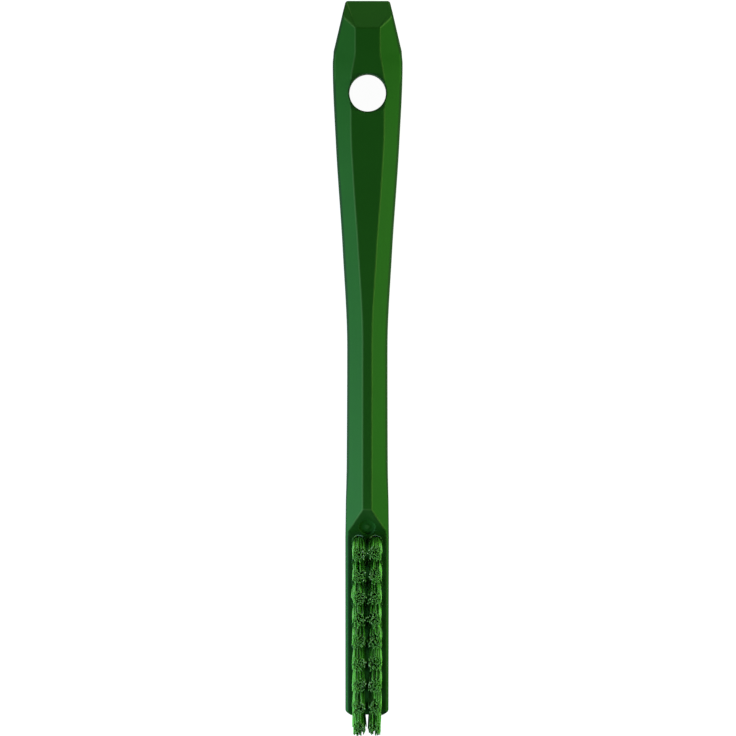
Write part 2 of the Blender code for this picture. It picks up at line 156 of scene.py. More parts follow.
WIDEST_FROM_END = TAPER_LENGTH + CHEEK_LENGTH
PALM_FROM_END = WIDEST_FROM_END + PALM_LENGTH
FINGER_FROM_END = PALM_FROM_END + FINGER_LENGTH
WAIST_FROM_END = FINGER_FROM_END + TAIL_LENGTH
NECK_FROM_END = WAIST_FROM_END + NECK_LENGTH
BED_FROM_END = HANGING_END_Y - tuft_hole("left", 1)[0].y - FIRST_HOLE_FROM_SHOULDER
SHOULDER_FROM_END = BED_FROM_END - SHOULDER_LENGTH
RAMP_SLOPE = (NECK_RIDGE_HEIGHT - BED_HEIGHT) / SHOULDER_LENGTH
RIDGE_RISE_FROM_END = TAPER_LENGTH + RIDGE_RISE_LENGTH
RIDGE_HOLE_FROM_END = RIDGE_RISE_FROM_END + RIDGE_HOLE_LENGTH
RIDGE_PALM_FROM_END = RIDGE_HOLE_FROM_END + RIDGE_PALM_LENGTH
RIDGE_FINGER_FROM_END = RIDGE_PALM_FROM_END + RIDGE_FINGER_LENGTH
RIDGE_NECK_FROM_END = RIDGE_FINGER_FROM_END + RIDGE_TAIL_LENGTH

# Each curve is a row of (distance from the hanging end, size) pairs
WIDTH_CURVE = (
    (TAPER_LENGTH, CHEEK_WIDTH),
    (WIDEST_FROM_END, WIDEST_WIDTH),
    (PALM_FROM_END, PALM_WIDTH),
    (FINGER_FROM_END, FINGER_WIDTH),
    (WAIST_FROM_END, WAIST_WIDTH),
    (NECK_FROM_END, NECK_WIDTH),
    (BED_FROM_END, HEAD_WIDTH),
)
RIDGE_CURVE = (
    (END_SLOPE_LENGTH, RIDGE_END_WIDTH),
    (TAPER_LENGTH, RIDGE_CHEEK_WIDTH),
    (RIDGE_RISE_FROM_END, RIDGE_HOLE_WIDTH),
    (RIDGE_HOLE_FROM_END, RIDGE_HOLE_WIDTH),
    (RIDGE_PALM_FROM_END, RIDGE_PALM_WIDTH),
    (RIDGE_FINGER_FROM_END, RIDGE_FINGER_WIDTH),
    (RIDGE_NECK_FROM_END, RIDGE_NECK_WIDTH),
)
HEIGHT_CURVE = (
    (HANGING_HOLE_FROM_END, END_RIDGE_HEIGHT),
    (WAIST_FROM_END, WAIST_RIDGE_HEIGHT),
    (SHOULDER_FROM_END, NECK_RIDGE_HEIGHT),
)
EDGE_DROP_CURVE = (
    (WAIST_FROM_END, UPPER_EDGE_DROP),
    (SHOULDER_FROM_END, NECK_UPPER_EDGE_DROP),
)
OUTER_EDGE_CURVE = (
    (NECK_FROM_END, OUTER_EDGE_REACH),
    (SHOULDER_FROM_END, HEAD_OUTER_EDGE_REACH),
)


def curve_slopes(curve):
    """Slopes that keep a curve from swinging past its own points."""
    steps = []
    for (start, low), (stop, high) in zip(curve, curve[1:]):
        steps.append((high - low) / (stop - start))
    slopes = [0.0]
    for before, after in zip(steps, steps[1:]):
        same_way = before * after > 0.0
        slopes.append(2.0 * before * after / (before + after) if same_way else 0.0)
    slopes.append(0.0)
    return slopes


def eased(distance, curve):
    """Read a smooth curve at a distance from the hanging end."""
    if distance <= curve[0][0]:
        return curve[0][1]
    slopes = curve_slopes(curve)
    for index, (stop, high) in enumerate(curve[1:]):
        if distance > stop:
            continue
        start, low = curve[index]
        span = stop - start
        t = (distance - start) / span
        rise = t * t * (3.0 - 2.0 * t)
        pull_low = t * (1.0 - t) ** 2 * span * slopes[index]
        pull_high = t * t * (t - 1.0) * span * slopes[index + 1]
        return low + (high - low) * rise + pull_low + pull_high
    return curve[-1][1]


def head_corner_inset(distance):
    """How far the oval upright corners of the head end draw its sides in."""
    share = max(distance - BLOCK_LENGTH + HEAD_CORNER_REACH, 0.0) / HEAD_CORNER_REACH
    return HEAD_CORNER_WIDTH * (1.0 - math.sqrt(max(1.0 - share * share, 0.0)))


def block_corners(distance):
    """The eight corners of the section at a distance from the hanging end."""
    width = eased(distance, WIDTH_CURVE)
    if distance < TAPER_LENGTH:
        width = END_WIDTH + (CHEEK_WIDTH - END_WIDTH) * distance / TAPER_LENGTH
    half = width / 2 - head_corner_inset(distance)
    ridge = eased(distance, RIDGE_CURVE) / 2
    height = eased(distance, HEIGHT_CURVE)
    upper = height - eased(distance, EDGE_DROP_CURVE)
    right = [(half - BACK_FACET_INSET, 0.0), (half, LOWER_EDGE_HEIGHT), (half, upper), (ridge, height)]
    left = [(-x, z) for x, z in reversed(right)]
    return [Vector(corner) for corner in right + left]


def rounded_corner(before, corner, after, reach):
    """Points along the round that joins two straight runs of a section."""
    start = corner + (before - corner).normalized() * reach
    stop = corner + (after - corner).normalized() * reach
    points = []
    for step in range(OUTER_EDGE_STEPS + 1):
        t = step / OUTER_EDGE_STEPS
        points.append(start * (1.0 - t) ** 2 + corner * (2.0 * t * (1.0 - t)) + stop * t ** 2)
    return points


def block_section(distance):
    """The section at a distance from the hanging end, its two outer front corners rounded."""
    corners = block_corners(distance)
    reach = eased(distance, OUTER_EDGE_CURVE)
    right = corners[:2] + rounded_corner(*corners[1:4], reach) + corners[3:4]
    left = corners[4:5] + rounded_corner(*corners[4:7], reach) + corners[6:]
    return right + left


def front_height(x, y):
    """Height of the handle's bristle side: flat on the ridge, then falling on the side facets."""
    corners = block_corners(HANGING_END_Y - y)
    edge, ridge = corners[2], corners[3]
    beyond = max(abs(x) - ridge.x, 0.0)
    return ridge.y - (ridge.y - edge.y) * beyond / (edge.x - ridge.x)


def ring_distances():
    """Where the sections stand: at the hanging end, along the handle and round the head's corners."""
    last = SHOULDER_FROM_END - CUT_OVERRUN
    distances = [0.0]
    for step in range(HANDLE_RINGS + 1):
        distances.append(TAPER_LENGTH + (last - TAPER_LENGTH) * step / HANDLE_RINGS)
    distances.append(BED_FROM_END + CUT_OVERRUN)
    for step in range(CORNER_STEPS + 1):
        turn = math.pi / 2 * step / CORNER_STEPS
        distances.append(BLOCK_LENGTH - HEAD_CORNER_REACH * (1.0 - math.sin(turn)))
    return distances


def bridge(builder, rings):
    """Skin a row of like rings, and close the first and the last."""
    for before, after in zip(rings, rings[1:]):
        for index, corner in enumerate(before):
            nxt = (index + 1) % len(before)
            builder.faces.new((corner, before[nxt], after[nxt], after[index]))
    builder.faces.new(list(reversed(rings[0])))
    builder.faces.new(rings[-1])


def add_piece(name, builder, material=None):
    """Put a filled bmesh into the scene as an object."""
    bmesh.ops.recalc_face_normals(builder, faces=builder.faces)
    mesh = bpy.data.meshes.new(name)
    builder.to_mesh(mesh)
    builder.free()
    piece = bpy.data.objects.new(name, mesh)
    bpy.context.scene.collection.objects.link(piece)
    if material:
        mesh.materials.append(material)
    return piece


def slice_off(builder, point, normal):
    """Cut a flat facet and close the cut."""
    everything = builder.verts[:] + builder.edges[:] + builder.faces[:]
    sliced = bmesh.ops.bisect_plane(
        builder, geom=everything, plane_co=point, plane_no=normal, clear_outer=True
    )
    rim = [item for item in sliced["geom_cut"] if isinstance(item, bmesh.types.BMEdge)]
    bmesh.ops.contextual_create(builder, geom=rim)


def round_hanging_end(builder, ring):
    """Round the upright corners of the end face, from the flat back over the outer front edges."""
    upright = []
    last = len(ring) - 1
    for index in range(2 + OUTER_EDGE_STEPS):
        for low, high in ((index, index + 1), (last - index, last - index - 1)):
            upright.append(next(edge for edge in ring[low].link_edges if ring[high] in edge.verts))
    bmesh.ops.bevel(
        builder,
        geom=upright,
        affect="EDGES",
        offset=HANGING_CORNER_REACH,
        segments=CORNER_STEPS,
        profile=ROUND_PROFILE,
    )


def moulded_shape():
    """The moulding before its bed, rims and holes: a loft with the sloped hanging end."""
    builder = bmesh.new()
    rings = []
    for distance in ring_distances():
        y = HANGING_END_Y - distance
        rings.append([builder.verts.new((p.x, y, p.y)) for p in block_section(distance)])
    bridge(builder, rings)
    bmesh.ops.recalc_face_normals(builder, faces=builder.faces)
    round_hanging_end(builder, rings[0])
    crest_y = HANGING_END_Y - END_SLOPE_LENGTH
    slice_off(builder, (0.0, crest_y, END_RIDGE_HEIGHT), (0.0, END_SLOPE_DROP, END_SLOPE_LENGTH))
    slope = END_SLOPE_DROP / END_SLOPE_LENGTH
    for side in (-1, 1):
        corner = Vector((side * RIDGE_END_WIDTH / 2, crest_y, END_RIDGE_HEIGHT))
        to_cheek = Vector((side * CORNER_FACET_WIDTH, CORNER_FACET_REACH, -CORNER_FACET_DROP))
        to_slope = Vector((
            side * CORNER_FACET_CREST_WIDTH,
            CORNER_FACET_CREST_REACH,
            -CORNER_FACET_CREST_REACH * slope,
        ))
        normal = to_cheek.cross(to_slope)
        if normal.z < 0.0:
            normal.negate()
        slice_off(builder, corner, normal)
    return builder


def bed_wedge(material):
    """The space over the bristle bed, with the ramp that falls from the ridge."""
    builder = bmesh.new()
    top = NECK_RIDGE_HEIGHT + CUT_OVERRUN
    side_view = (
        (HANGING_END_Y - SHOULDER_FROM_END + CUT_OVERRUN / RAMP_SLOPE, top),
        (HANGING_END_Y - BED_FROM_END, BED_HEIGHT),
        (HEAD_END_Y - CUT_OVERRUN, BED_HEIGHT),
        (HEAD_END_Y - CUT_OVERRUN, top),
    )
    half = HEAD_WIDTH / 2 + CUT_OVERRUN
    rings = [[builder.verts.new((x, y, z)) for y, z in side_view] for x in (-half, half)]
    bridge(builder, rings)
    return add_piece("bed_wedge", builder, material)


def round_places(centre, radius, sides):
    """Points evenly round an upright axis, at no height."""
    places = []
    for side in range(sides):
        turn = 2 * math.pi * side / sides
        places.append(centre + Vector((radius * math.cos(turn), radius * math.sin(turn), 0.0)))
    return places


def turned(builder, centre, profile):
    """A solid turned about an upright axis from (radius, height) pairs."""
    rings = []
    for radius, height in profile:
        places = round_places(centre, radius, TUFT_HOLE_SIDES)
        rings.append([builder.verts.new((p.x, p.y, height)) for p in places])
    bridge(builder, rings)


def lip_section():
    """A rounded lip as (distance outward, depth) pairs, carried on outside the surface."""
    section = []
    for step in range(LIP_STEPS + 1):
        turn = math.radians(LIP_SWEEP_DEGREES) * step / LIP_STEPS
        out = HANGING_HOLE_LIP * (1.0 - math.cos(turn))
        section.append((out, HANGING_HOLE_LIP * (1.0 - math.sin(turn))))
    out, depth = section[-1]
    fall = HANGING_HOLE_LIP / math.tan(math.radians(LIP_SWEEP_DEGREES))
    return section + [(out + HANGING_HOLE_LIP, depth - fall)]


def hanging_hole():
    """The through hole, with a rounded lip that follows the facets on the bristle side."""
    builder = bmesh.new()
    centre = Vector((0.0, HANGING_END_Y - HANGING_HOLE_FROM_END, 0.0))
    section = lip_section()
    widest = section[-1][0]
    rings = []
    for out, depth in [(widest, -CUT_OVERRUN)] + section[::-1]:
        places = round_places(centre, HANGING_HOLE_RADIUS + out, HANGING_HOLE_SIDES)
        rings.append([builder.verts.new((p.x, p.y, depth)) for p in places])
    for out, depth in section + [(widest, -CUT_OVERRUN)]:
        places = round_places(centre, HANGING_HOLE_RADIUS + out, HANGING_HOLE_SIDES)
        rings.append([builder.verts.new((p.x, p.y, front_height(p.x, p.y) - depth)) for p in places])
    bridge(builder, rings)
    return add_piece("hanging_hole", builder)


def drilled_holes(material):
    """The blind tuft holes, each with a chamfered mouth."""
    builder = bmesh.new()
    profile = (
        (TUFT_HOLE_RADIUS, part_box("tuft_left_1")[0].z - EDGE_ROUNDING),
        (TUFT_HOLE_RADIUS, BED_HEIGHT - TUFT_HOLE_CHAMFER),
        (TUFT_HOLE_RADIUS + 2 * TUFT_HOLE_CHAMFER, BED_HEIGHT + TUFT_HOLE_CHAMFER),
    )
    for row in ROWS:
        for number in range(1, TUFTS_PER_ROW + 1):
            turned(builder, tuft_hole(row, number)[0], profile)
    return add_piece("drilled_holes", builder, material)


def gate_recess(material):
    """The shallow pocket on the ramp, square to it, with the stub of the gate on its floor."""
    builder = bmesh.new()
    profile = (
        (GATE_MARK_RADIUS, GATE_MARK_HEIGHT - GATE_DEPTH),
        (GATE_MARK_RADIUS + GATE_LIP, -GATE_DEPTH),
        (GATE_RADIUS - GATE_LIP, -GATE_DEPTH),
        (GATE_RADIUS, GATE_LIP - GATE_DEPTH),
        (GATE_RADIUS, -GATE_LIP / 2),
        (GATE_RADIUS + GATE_LIP, GATE_LIP / 2),
        (GATE_RADIUS + GATE_LIP, CUT_OVERRUN),
    )
    turned(builder, Vector((0.0, 0.0, 0.0)), profile)
    tool = add_piece("gate_recess", builder, material)
    centre_y = HANGING_END_Y - BED_FROM_END + GATE_FROM_BED
    tool.location = (0.0, centre_y, BED_HEIGHT + GATE_FROM_BED * RAMP_SLOPE)
    tool.rotation_euler.x = math.atan(RAMP_SLOPE)
    return tool


def cut(piece, tool):
    """Take a tool's shape out of a piece."""
    boolean = piece.modifiers.new(tool.name, "BOOLEAN")
    boolean.operation = "DIFFERENCE"
    boolean.solver = "EXACT"
    boolean.material_mode = "TRANSFER"
    boolean.object = tool


def settle(piece):
    """Keep what a piece's modifiers make of it as its own mesh."""
    bpy.context.view_layer.update()
    graph = bpy.context.evaluated_depsgraph_get()
    settled = bpy.data.meshes.new_from_object(piece.evaluated_get(graph))
    piece.modifiers.clear()
    piece.data = settled


def outward_bend(face):
    """How sharply the surface bends outward over a face: 1 on a rounding, near 0 on a facet."""
    bend = sum(edge.calc_face_angle_signed(0.0) * edge.calc_length() for edge in face.edges)
    return min(max(bend * EDGE_BEND_RADIUS / (2 * face.calc_area() + SLIVER_AREA), 0.0), 1.0)


def mark_edges(mesh):
    """Store the bend inside each rounding: above 0 for a painted highlight on the handle's flat-lying
    rounds, else below 0 for painted shade.

    The hanging hole's lip and the steep outer edges stay dark with painted shade, which is weaker on the
    head.
    """
    builder = bmesh.new()
    builder.from_mesh(mesh)
    builder.faces.ensure_lookup_table()
    face_bends = [outward_bend(face) for face in builder.faces]
    bends = mesh.attributes.new("edge_bend", "FLOAT", "POINT")
    hole_y = HANGING_END_Y - HANGING_HOLE_FROM_END
    lip_reach = HANGING_HOLE_RADIUS + 2 * HANGING_HOLE_LIP
    for vertex in builder.verts:
        bend = min(face_bends[face.index] for face in vertex.link_faces)
        on_handle = vertex.co.y > HANGING_END_Y - BED_FROM_END
        on_lip = math.hypot(vertex.co.x, vertex.co.y - hole_y) < lip_reach
        highlit = on_handle and not on_lip and abs(vertex.normal.z) > FLAT_LYING_SHARE
        shaded = 1.0 if on_handle else HEAD_EDGE_SHADE_SHARE
        # Above 0 is a painted highlight, below 0 is painted shade.
        bends.data[vertex.index].value = bend if highlit else -bend * shaded
    builder.free()


def shader_node(tree, kind, inputs=None, **properties):
    """Add a shader node, set its properties, and fill or link its inputs by name."""
    node = tree.nodes.new(kind)
    for name, value in properties.items():
        setattr(node, name, value)
    for name, value in (inputs or {}).items():
        socket = node.inputs[name]
        if isinstance(value, bpy.types.NodeSocket):
            tree.links.new(value, socket)
        else:
            socket.default_value = value
    return node


def mixed(tree, share, first, second):
    """Mix two colours, each a socket or a tuple, by a share from 0 to 1."""
    node = tree.nodes.new("ShaderNodeMix")
    node.data_type = "RGBA"
    sockets = {socket.identifier: socket for socket in node.inputs}
    for name, value in (("Factor_Float", share), ("A_Color", first), ("B_Color", second)):
        if isinstance(value, bpy.types.NodeSocket):
            tree.links.new(value, sockets[name])
        else:
            sockets[name].default_value = (*value, 1.0) if name != "Factor_Float" else value
    return next(socket for socket in node.outputs if socket.identifier == "Result_Color")


def spread(tree, value, low, high):
    """Carry a 0 to 1 value over to the range from low to high."""
    return shader_node(
        tree, "ShaderNodeMapRange", {"Value": value, "To Min": low, "To Max": high}
    ).outputs["Result"]


def moulding_marks():
    """Fine grain and broad cloudy patches, shared by every moulded, drawn or rolled surface here."""
    group = bpy.data.node_groups.new("moulding_marks", "ShaderNodeTree")
    for name, size in (("Grain Size", 0.0002), ("Patch Size", 0.0100), ("Stretch", 1.0)):
        socket = group.interface.new_socket(name, in_out="INPUT", socket_type="NodeSocketFloat")
        socket.default_value = size
    for name in ("Grain", "Patch"):
        group.interface.new_socket(name, in_out="OUTPUT", socket_type="NodeSocketFloat")
    given = group.nodes.new("NodeGroupInput")
    result = group.nodes.new("NodeGroupOutput")
    place = shader_node(group, "ShaderNodeTexCoord").outputs["Object"]
    along = shader_node(group, "ShaderNodeCombineXYZ", {"X": 1.0, "Y": 1.0}).outputs["Vector"]
    group.links.new(given.outputs["Stretch"], along.node.inputs["Z"])
    stretched = shader_node(
        group, "ShaderNodeVectorMath", {0: place, 1: along}, operation="MULTIPLY"
    ).outputs["Vector"]
    for name, detail in (("Grain", 2.0), ("Patch", 3.0)):
        scale = shader_node(
            group, "ShaderNodeMath", {0: 1.0, 1: given.outputs[name + " Size"]}, operation="DIVIDE"
        ).outputs["Value"]
        noise = shader_node(
            group,
            "ShaderNodeTexNoise",
            {"Vector": stretched, "Scale": scale, "Detail": detail, "Roughness": 0.55},
        )
        group.links.new(noise.outputs["Fac"], result.inputs[name])
    return group


MARKS = moulding_marks()


def marks(tree, grain_size, patch_size, stretch=1.0):
    """Place the shared marks in a material, with that material's own sizes."""
    node = tree.nodes.new("ShaderNodeGroup")
    node.node_tree = MARKS
    for name, value in (("Grain Size", grain_size), ("Patch Size", patch_size), ("Stretch", stretch)):
        node.inputs[name].default_value = value
    return node.outputs["Grain"], node.outputs["Patch"]


def principled(name):
    """A new material with its tree and its Principled shader."""
    material = bpy.data.materials.new(name)
    material.use_nodes = True
    return material, material.node_tree, material.node_tree.nodes["Principled BSDF"]


MOULDED_PATCH = 0.0085
SPECK_STRENGTH = 0.35
SATIN_ROUGHNESS = (0.54, 0.64)
# The pale green is a painted highlight along flat-lying rounded edges; the dark green is painted shade
# along steep ones.
HIGHLIGHT_GREEN = (0.095, 0.265, 0.050)
HIGHLIGHT_STRENGTH = 0.70
EDGE_SHADE_GREEN = (0.012, 0.036, 0.010)
EDGE_SHADE_STRENGTH = 0.74
EDGE_SHADE_BEND = -0.30


def bend_share(tree, bend, full_bend, strength):
    """How strongly an edge's painted highlight or painted shade shows, from none on a flat facet to all
    at the full bend.
    """
    return shader_node(
        tree, "ShaderNodeMapRange", {"Value": bend, "From Max": full_bend, "To Max": strength}
    ).outputs["Result"]


def green_polypropylene(name, tones, speck, grain_size, grain_depth):
    """Satin moulded plastic: cloudy green with a fine grain from spark erosion, a painted highlight on
    flat-lying rounded edges and painted shade on steep ones.
    """
    material, tree, shader = principled(name)
    grain, patch = marks(tree, grain_size, MOULDED_PATCH)
    specks = spread(tree, grain, 0.0, SPECK_STRENGTH)
    speckled = mixed(tree, specks, mixed(tree, patch, *tones), speck)
    bend = shader_node(tree, "ShaderNodeAttribute", attribute_name="edge_bend").outputs["Fac"]
    lit_share = bend_share(tree, bend, 1.0, HIGHLIGHT_STRENGTH)
    shaded = bend_share(tree, bend, EDGE_SHADE_BEND, EDGE_SHADE_STRENGTH)
    # Painted highlight, then painted shade, mixed into the base colour.
    highlighted = mixed(tree, lit_share, speckled, HIGHLIGHT_GREEN)
    tree.links.new(mixed(tree, shaded, highlighted, EDGE_SHADE_GREEN), shader.inputs["Base Color"])
    tree.links.new(spread(tree, patch, *SATIN_ROUGHNESS), shader.inputs["Roughness"])
    bump = shader_node(
        tree, "ShaderNodeBump", {"Height": grain, "Strength": 0.18, "Distance": grain_depth}
    )
    tree.links.new(bump.outputs["Normal"], shader.inputs["Normal"])
    shader.inputs["Specular IOR Level"].default_value = 0.04
    shader.inputs["IOR"].default_value = 1.49
    return material


def polished_polypropylene():
    """The handle's skin, from the fine face of the mould."""
    tones = ((0.015, 0.112, 0.008), (0.020, 0.142, 0.011))
    speck = (0.013, 0.096, 0.007)
    return green_polypropylene(
        "polished_polypropylene", tones, speck, grain_size=0.00022, grain_depth=0.00003
    )


def eroded_and_shaded_polypropylene():
    """The bed and the ramp: a coarser face of the mould, its darker colour painted shade."""
    tones = ((0.009, 0.074, 0.005), (0.013, 0.098, 0.007))
    speck = (0.007, 0.056, 0.004)
    return green_polypropylene(
        "eroded_and_shaded_polypropylene", tones, speck, grain_size=0.00030, grain_depth=0.00006
    )


# Paler cut plastic, lightened further as a painted highlight on the hole mouths.
CUT_HIGHLIGHT_GREENS = ((0.250, 0.520, 0.210), (0.330, 0.600, 0.290))
CUT_ROUGHNESS = (0.60, 0.78)


def cut_and_highlit_polypropylene():
    """The same plastic where a drill has cut it: paler and duller than the moulded skin, its paleness
    raised into a painted highlight on the hole mouths.
    """
    material, tree, shader = principled("cut_and_highlit_polypropylene")
    grain, patch = marks(tree, grain_size=0.00010, patch_size=0.0012, stretch=3.0)
    tree.links.new(mixed(tree, patch, *CUT_HIGHLIGHT_GREENS), shader.inputs["Base Color"])
    tree.links.new(spread(tree, grain, *CUT_ROUGHNESS), shader.inputs["Roughness"])
    shader.inputs["Specular IOR Level"].default_value = 0.10
    return material


block = add_piece("handle_and_block", moulded_shape(), polished_polypropylene())
# The bed, ramp and gate recess get a darker plastic: painted shade.
shaded_bed_plastic = eroded_and_shaded_polypropylene()
wedge = bed_wedge(shaded_bed_plastic)
cut(block, wedge)
roundings = block.modifiers.new("moulded_edges", "BEVEL")
roundings.width = EDGE_ROUNDING
roundings.segments = EDGE_STEPS
roundings.use_clamp_overlap = False
roundings.limit_method = "ANGLE"
roundings.angle_limit = math.radians(ROUNDED_EDGE_DEGREES)
holes = [hanging_hole(), gate_recess(shaded_bed_plastic), drilled_holes(cut_and_highlit_polypropylene())]
for hole in holes:
    cut(block, hole)
settle(block)
for tool in [wedge] + holes:
    bpy.data.objects.remove(tool)
block.data.shade_smooth()
block.data.set_sharp_from_angle(angle=math.radians(SHARP_EDGE_DEGREES))
block.modifiers.new("flat_facets", "WEIGHTED_NORMAL").keep_sharp = True
settle(block)
mark_edges(block.data)
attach(block, "root")
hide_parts("handle_block")

# Anchors
# Eighteen short cuts of flat stainless wire, rolled and sheared. Each lies across a folded tuft at
# the bottom of its hole, with both ends pressed into the plastic. They keep their CAD shape.
ROLLED_LINE_WIDTH = 0.00004
ROLLED_LINE_DEPTH = 0.00001
DULL_PATCH = 0.0015
STEEL_GREYS = ((0.46, 0.47, 0.48), (0.62, 0.63, 0.64))
ROLLED_ROUGHNESS = (0.24, 0.42)


def rolled_stainless():
    """Flat rolled wire: fine lines along its length and faint dull patches."""
    material, tree, shader = principled("rolled_stainless")
    grain, patch = marks(tree, ROLLED_LINE_WIDTH, DULL_PATCH, stretch=9.0)
    tree.links.new(mixed(tree, patch, *STEEL_GREYS), shader.inputs["Base Color"])
    tree.links.new(spread(tree, grain, *ROLLED_ROUGHNESS), shader.inputs["Roughness"])
    bump = shader_node(
        tree, "ShaderNodeBump", {"Height": grain, "Strength": 0.15, "Distance": ROLLED_LINE_DEPTH}
    )
    tree.links.new(bump.outputs["Normal"], shader.inputs["Normal"])
    shader.inputs["Metallic"].default_value = 1.0
    return material


stainless = rolled_stainless()
for row in ROWS:
    for number in range(1, TUFTS_PER_ROW + 1):
        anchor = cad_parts[f"anchor_{row}_{number}"]
        anchor.data.materials.clear()
        anchor.data.materials.append(stainless)

# Bristle tufts
# Eighteen tufts of green polyester filament. Each is a bundle folded in half round its anchor, driven
# into its hole and trimmed level with the rest. Use has bent the filaments and opened their tips.
FILAMENT_RADIUS = 0.000175
FILAMENT_SIDES = 6
FILAMENTS_PER_TUFT = 40
ROOT_REACH = 0.00142
OUTER_TIP_REACH = 0.00160
INNER_TIP_REACH = 0.00176
TIP_REACH_ALONG = 0.00190
TIP_CROWDING_POWER = 0.80
OUTER_TIP_WANDER = 0.00014
INNER_TIP_WANDER = 0.00033
OUTWARD_BOW = 0.00014
STRAY_BOW = 0.00022
TRIM_SPREAD = 0.00015
OUTER_SQUARENESS = 0.9
LAST_TUFT_LEAN = 0.0022
LAST_TUFT_PINCH = 0.0002
SPLAY_POWER = 0.7
STANDING_STEPS = 9
FOLD_STEPS = 5
FOLD_DEPTH = 0.00090
FOLD_SLANT_SHARE = 0.35
FOLD_CLEARANCE = 0.0003
TIP_CHAMFER = 0.00005
TIP_CHAMFER_SHARE = 0.78
TIP_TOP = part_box("tuft_left_1")[1].z
GOLDEN_TURN = math.pi * (3.0 - math.sqrt(5.0))
TONE_CHANCE_SHARE = 0.30
TONE_POWER = 1.6


def root_places(chance):
    """Where one half of a tuft's folded filaments leave the hole, evenly spread over half its disc."""
    places = []
    turn = chance.uniform(0.0, math.pi)
    index = 0
    while len(places) < FILAMENTS_PER_TUFT:
        reach = ROOT_REACH * min(math.sqrt((index + 0.5) / (2 * FILAMENTS_PER_TUFT)), 1.0)
        angle = turn + index * GOLDEN_TURN
        index += 1
        if math.cos(angle) > 0.0:
            places.append((reach * math.cos(angle), reach * math.sin(angle)))
    return places


def filament_tone(chance, outward):
    """A filament's tone from 0 to 1: partly random, else painted shade beside the other row and painted
    light on the outer side.
    """
    lit_share = ((1.0 + outward / ROOT_REACH) / 2) ** TONE_POWER
    return TONE_CHANCE_SHARE * chance.random() + (1.0 - TONE_CHANCE_SHARE) * lit_share


def standing_points(chance, root, lean):
    """One standing half of a filament, from the hole's mouth to its cut tip.

    The tuft's own frame has +X away from the other row.
    """
    outer = root.x > 0.0
    across = math.copysign((abs(root.x) / ROOT_REACH) ** TIP_CROWDING_POWER, root.x)
    squared = 1.0 + OUTER_SQUARENESS * (root.x / ROOT_REACH) ** 2 if outer else 1.0
    wander = OUTER_TIP_WANDER if outer else INNER_TIP_WANDER
    tip = Vector((
        across * (OUTER_TIP_REACH if outer else INNER_TIP_REACH) + chance.gauss(0.0, wander),
        squared * root.y / ROOT_REACH * TIP_REACH_ALONG + chance.gauss(0.0, wander),
        TIP_TOP - chance.uniform(0.0, TRIM_SPREAD),
    )) + lean
    stray_turn = chance.uniform(0.0, 2 * math.pi)
    stray = Vector((math.cos(stray_turn), math.sin(stray_turn), 0.0)) * chance.uniform(0.0, STRAY_BOW)
    bow = stray + Vector((across * OUTWARD_BOW, 0.0, 0.0))
    points = []
    for step in range(STANDING_STEPS + 1):
        share = step / STANDING_STEPS
        point = root.lerp(tip, share)
        point.x = root.x + (tip.x - root.x) * share ** SPLAY_POWER
        points.append(point + bow * math.sin(math.pi * share))
    return points


def folded_points(chance, place, lean, anchor_low, anchor_high):
    """A whole filament: down one side of the anchor, round under it and up the other side."""
    x, y = place
    side_x = max(x, FILAMENT_RADIUS + FOLD_CLEARANCE)
    depth = FOLD_DEPTH + side_x * FOLD_SLANT_SHARE
    left_half = standing_points(chance, Vector((-x, y, BED_HEIGHT)), lean)
    right_half = standing_points(chance, Vector((x, y, BED_HEIGHT)), lean)
    points = list(reversed(left_half)) + [Vector((-side_x, y, anchor_high))]
    for step in range(FOLD_STEPS + 1):
        turn = math.pi * step / FOLD_STEPS
        points.append(Vector((-side_x * math.cos(turn), y, anchor_low - depth * math.sin(turn))))
    return points + [Vector((side_x, y, anchor_high))] + right_half


def sweep_filament(builder, layers, points, tones):
    """A round filament along its points, with small chamfers at both cut tips."""
    tone_layer, rise_layer = layers
    side = Vector((0.0, 1.0, 0.0))
    rings = []
    last = len(points) - 1
    for index, point in enumerate(points):
        along = (points[min(index + 1, last)] - points[max(index - 1, 0)]).normalized()
        side = (side - along * side.dot(along)).normalized()
        across = along.cross(side)
        rise = max((point.z - BED_HEIGHT) / (TIP_TOP - BED_HEIGHT), 0.0)
        steps = [(0.0, 1.0)]
        if index == 0:
            steps = [(0.0, TIP_CHAMFER_SHARE), (TIP_CHAMFER, 1.0)]
        if index == last:
            steps = [(-TIP_CHAMFER, 1.0), (0.0, TIP_CHAMFER_SHARE)]
        for shift, share in steps:
            ring = []
            for corner in range(FILAMENT_SIDES):
                turn = 2 * math.pi * corner / FILAMENT_SIDES
                spoke = side * math.cos(turn) + across * math.sin(turn)
                vertex = builder.verts.new(point + along * shift + spoke * (FILAMENT_RADIUS * share))
                vertex[tone_layer] = tones[0] if index <= last // 2 else tones[1]
                vertex[rise_layer] = rise
                ring.append(vertex)
            rings.append(ring)
    bridge(builder, rings)


# Colours of a filament, with painted shade at the root and a painted highlight at the tip; the root
# shade's top and a tip's start are shares of the standing height
SHADED_INNER_GREEN = (0.026, 0.205, 0.008)
LIT_OUTER_GREEN = (0.148, 0.635, 0.036)
STREAK_GREEN = (0.060, 0.360, 0.026)
STREAK_STRENGTH = 0.4
ROOT_SHADE_GREEN = (0.010, 0.085, 0.005)
ROOT_SHADE_STRENGTH = 0.85
INNER_ROOT_SHADE_TOP = 0.97
OUTER_ROOT_SHADE_TOP = 0.40
ROOT_SHADE_HOLD_SHARE = 0.45
# Paler cut tips, raised into a painted highlight.
CUT_TIP_HIGHLIGHT_GREEN = (0.520, 0.860, 0.330)
CUT_TIP_START = 0.93
OUTER_TIP_HIGHLIGHT_STRENGTH = 0.16
TIP_HIGHLIGHT_TONE = 0.16
DRAWN_LINE_WIDTH = 0.00012
DRAWN_LINE_DEPTH = 0.00001
FILAMENT_PATCH = 0.0030
FILAMENT_ROUGHNESS = (0.32, 0.50)


